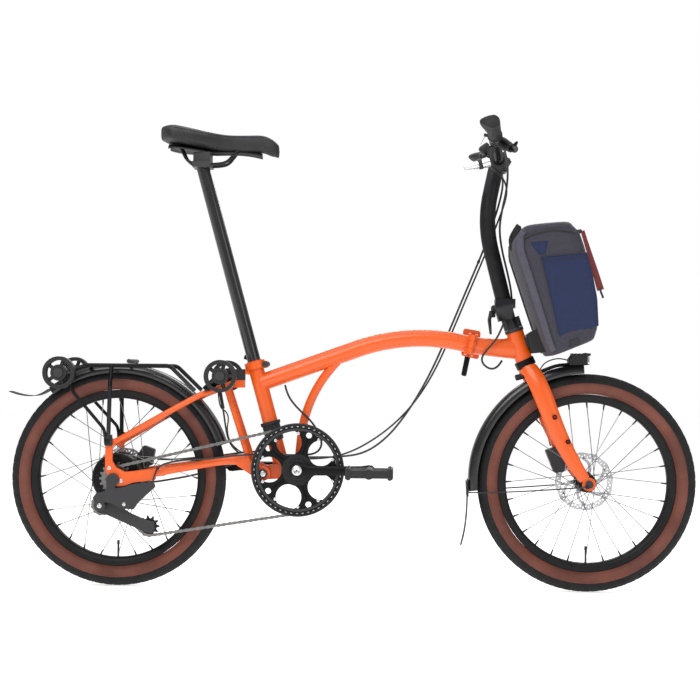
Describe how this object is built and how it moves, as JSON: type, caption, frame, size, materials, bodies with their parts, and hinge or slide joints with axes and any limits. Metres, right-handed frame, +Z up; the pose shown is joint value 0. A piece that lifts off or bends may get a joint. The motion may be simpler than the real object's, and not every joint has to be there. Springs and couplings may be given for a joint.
{
  "type": "folding bicycle",
  "caption": "Electric folding bicycle with an arched hinged frame, rear frame that tucks under, folding handlepost, disc brakes, rack with easy wheels and a lift-off battery bag",
  "frame": {"origin": "centre of the overall box at ground level, midway between the front and back ends and on the centre plane", "axes": "+X forward along the bicycle, +Y to the rider's left, +Z up"},
  "size_m": [1.633, 0.5644, 1.098],
  "materials": {
    "frame_paint": "satin bright orange powder coat",
    "black_metal": "satin black anodised or painted metal",
    "tyre_tread": "black tread with tan sidewalls",
    "rim_black": "satin black",
    "spoke_steel": "plain stainless wire",
    "disc_steel": "ground stainless",
    "chain_steel": "oiled steel",
    "black_plastic": "fine moulded grain",
    "grip_rubber": "soft textured rubber",
    "cable_black": "smooth outer casing",
    "saddle_leather": "matt black synthetic leather",
    "bag_fabric": "woven navy and grey-purple cloth",
    "lamp_lens": "clear moulded lens",
    "block_rubber": "elastomer block"
  },
  "bodies": {
    "main_frame": {"main_frame": "frame_paint", "frame_bearings_and_pins": "black_metal", "seat_and_fold_clamps": "black_metal"},
    "seat_lever": {"seat_clamp_lever": "black_metal"},
    "fold_lever": {"fold_clamp_lever": "black_metal"},
    "front_frame": {"front_frame": "frame_paint", "headset": "black_metal", "carrier_block": "black_plastic"},
    "fork": {"fork": "frame_paint", "front_axle": "black_metal", "front_mudguard": "black_plastic", "headlight": "black_plastic", "front_caliper": "black_metal", "handlepost_base": "black_metal"},
    "front_wheel": {"front_tyre": "tyre_tread", "front_rim": "rim_black", "front_spokes": "spoke_steel", "front_hub_and_disc": "disc_steel"},
    "handlepost": {"handlepost": "black_metal", "handlebar": "black_metal", "grips": "grip_rubber", "lever_bodies": "black_metal", "bar_controls": "black_plastic", "front_brake_hose": "cable_black"},
    "post_lever": {"handlepost_clamp_lever": "black_metal"},
    "left_lever": {"left_brake_lever": "black_metal"},
    "right_lever": {"right_brake_lever": "black_metal"},
    "bag": {"bag": "bag_fabric", "battery": "black_plastic"},
    "rear_frame": {"rear_frame": "frame_paint", "suspension_block": "block_rubber", "rack_and_roller_bracket": "black_metal", "rear_mudguard": "black_plastic", "rear_caliper": "black_metal", "rear_axle": "black_metal", "chain_tensioner": "black_metal", "chain": "chain_steel", "rear_brake_hose": "cable_black", "gear_cable": "cable_black", "motor_cable": "cable_black"},
    "rear_wheel": {"rear_tyre": "tyre_tread", "rear_rim": "rim_black", "rear_spokes": "spoke_steel", "rear_hub_and_disc": "disc_steel"},
    "cassette": {"cassette": "chain_steel"},
    "tensioner_cage": {"tensioner_cage": "black_metal"},
    "guide_pulley": {"guide_pulley": "black_plastic"},
    "tension_pulley": {"tension_pulley": "black_plastic"},
    "front_rollers": {"front_rollers": "black_plastic"},
    "rear_rollers": {"rear_rollers": "black_plastic"},
    "crank": {"chainring_and_guard": "black_metal", "right_crank": "black_metal", "left_crank_and_spindle": "black_metal", "pedal_axles": "spoke_steel"},
    "right_pedal": {"right_pedal": "black_plastic"},
    "left_pedal": {"left_pedal": "black_plastic"},
    "seat_post": {"seat_post": "black_metal", "saddle_clamp": "black_metal", "saddle_cover": "saddle_leather", "saddle_base_and_rails": "black_plastic"}
  },
  "joints": [
    {"name": "seat_lever_swing", "type": "hinge", "parent": "main_frame", "child": "seat_lever", "pos_m": [-0.2025, 0, 0.53], "axis": [0, 1, 0], "range_deg": [0, 150]},
    {"name": "fold_lever_swing", "type": "hinge", "parent": "main_frame", "child": "fold_lever", "pos_m": [0.2865, 0, 0.583], "axis": [0, -1, 0], "range_deg": [0, 150]},
    {"name": "main_fold", "type": "hinge", "parent": "main_frame", "child": "front_frame", "pos_m": [0.2845, -0.027, 0.581], "axis": [-0.2147, 0, -0.9767], "range_deg": [0, 108]},
    {"name": "steering", "type": "hinge", "parent": "front_frame", "child": "fork", "pos_m": [0.414, 0, 0.538], "axis": [-0.3256, 0, 0.9455], "range_deg": [-45, 45]},
    {"name": "front_wheel_spin", "type": "hinge", "parent": "fork", "child": "front_wheel", "pos_m": [0.5595, 0, 0.257], "axis": [0, 1, 0], "continuous": true},
    {"name": "handlepost_fold", "type": "hinge", "parent": "fork", "child": "handlepost", "pos_m": [0.3525, 0.025, 0.668], "axis": [0.7071, 0.7071, 0], "range_deg": [-120, 0], "deforming": ["front_brake_hose"]},
    {"name": "post_lever_swing", "type": "hinge", "parent": "fork", "child": "post_lever", "pos_m": [0.3345, 0, 0.654], "axis": [1, 0, 0], "range_deg": [0, 90]},
    {"name": "left_lever_pull", "type": "hinge", "parent": "handlepost", "child": "left_lever", "pos_m": [0.35995, 0.154, 1.02738], "axis": [0.5446, 0, 0.8387], "range_deg": [0, 18], "stiffness_Nm_per_rad": 1.2, "springref_deg": -17.19},
    {"name": "right_lever_pull", "type": "hinge", "parent": "handlepost", "child": "right_lever", "pos_m": [0.35995, -0.154, 1.02738], "axis": [-0.5446, 0, -0.8387], "range_deg": [0, 18], "stiffness_Nm_per_rad": 1.2, "springref_deg": -17.19},
    {"name": "bag_lift", "type": "slide", "parent": "front_frame", "child": "bag", "axis": [-0.217, 0, 0.9762], "range_m": [0, 0.1]},
    {"name": "rear_fold", "type": "hinge", "parent": "main_frame", "child": "rear_frame", "pos_m": [-0.2035, 0, 0.272], "axis": [0, 1, 0], "range_deg": [-128, 0], "deforming": ["chain", "rear_brake_hose", "gear_cable", "motor_cable"]},
    {"name": "rear_wheel_spin", "type": "hinge", "parent": "rear_frame", "child": "rear_wheel", "pos_m": [-0.5515, 0, 0.257], "axis": [0, 1, 0], "continuous": true},
    {"name": "cassette_spin", "type": "hinge", "parent": "rear_frame", "child": "cassette", "pos_m": [-0.5515, 0, 0.257], "axis": [0, 1, 0], "continuous": true},
    {"name": "cage_swing", "type": "hinge", "parent": "rear_frame", "child": "tensioner_cage", "pos_m": [-0.5815, 0, 0.196], "axis": [0, 1, 0], "range_deg": [-10, 12], "stiffness_Nm_per_rad": 3},
    {"name": "guide_pulley_spin", "type": "hinge", "parent": "tensioner_cage", "child": "guide_pulley", "pos_m": [-0.5815, 0, 0.196], "axis": [0, 1, 0], "continuous": true},
    {"name": "tension_pulley_spin", "type": "hinge", "parent": "tensioner_cage", "child": "tension_pulley", "pos_m": [-0.4695, 0, 0.147], "axis": [0, 1, 0], "continuous": true},
    {"name": "front_rollers_spin", "type": "hinge", "parent": "rear_frame", "child": "front_rollers", "pos_m": [-0.3025, 0, 0.501], "axis": [0, 1, 0], "continuous": true},
    {"name": "rear_rollers_spin", "type": "hinge", "parent": "rear_frame", "child": "rear_rollers", "pos_m": [-0.6795, 0, 0.506], "axis": [0, 1, 0], "continuous": true},
    {"name": "crank_spin", "type": "hinge", "parent": "main_frame", "child": "crank", "pos_m": [-0.1205, 0, 0.283], "axis": [0, 1, 0], "continuous": true},
    {"name": "right_pedal_spin", "type": "hinge", "parent": "crank", "child": "right_pedal", "pos_m": [0.0495, 0, 0.283], "axis": [0, 1, 0], "continuous": true},
    {"name": "left_pedal_spin", "type": "hinge", "parent": "crank", "child": "left_pedal", "pos_m": [-0.2905, 0, 0.283], "axis": [0, 1, 0], "continuous": true},
    {"name": "seat_post_drop", "type": "slide", "parent": "main_frame", "child": "seat_post", "axis": [0.2656, 0, -0.9641], "range_m": [0, 0.36]}
  ],
  "couplings": [
    {"joint": "cassette_spin", "follows": "crank_spin", "ratio": 3.8462},
    {"joint": "guide_pulley_spin", "follows": "crank_spin", "ratio": -4.5455},
    {"joint": "tension_pulley_spin", "follows": "crank_spin", "ratio": 4.5455}
  ]
}
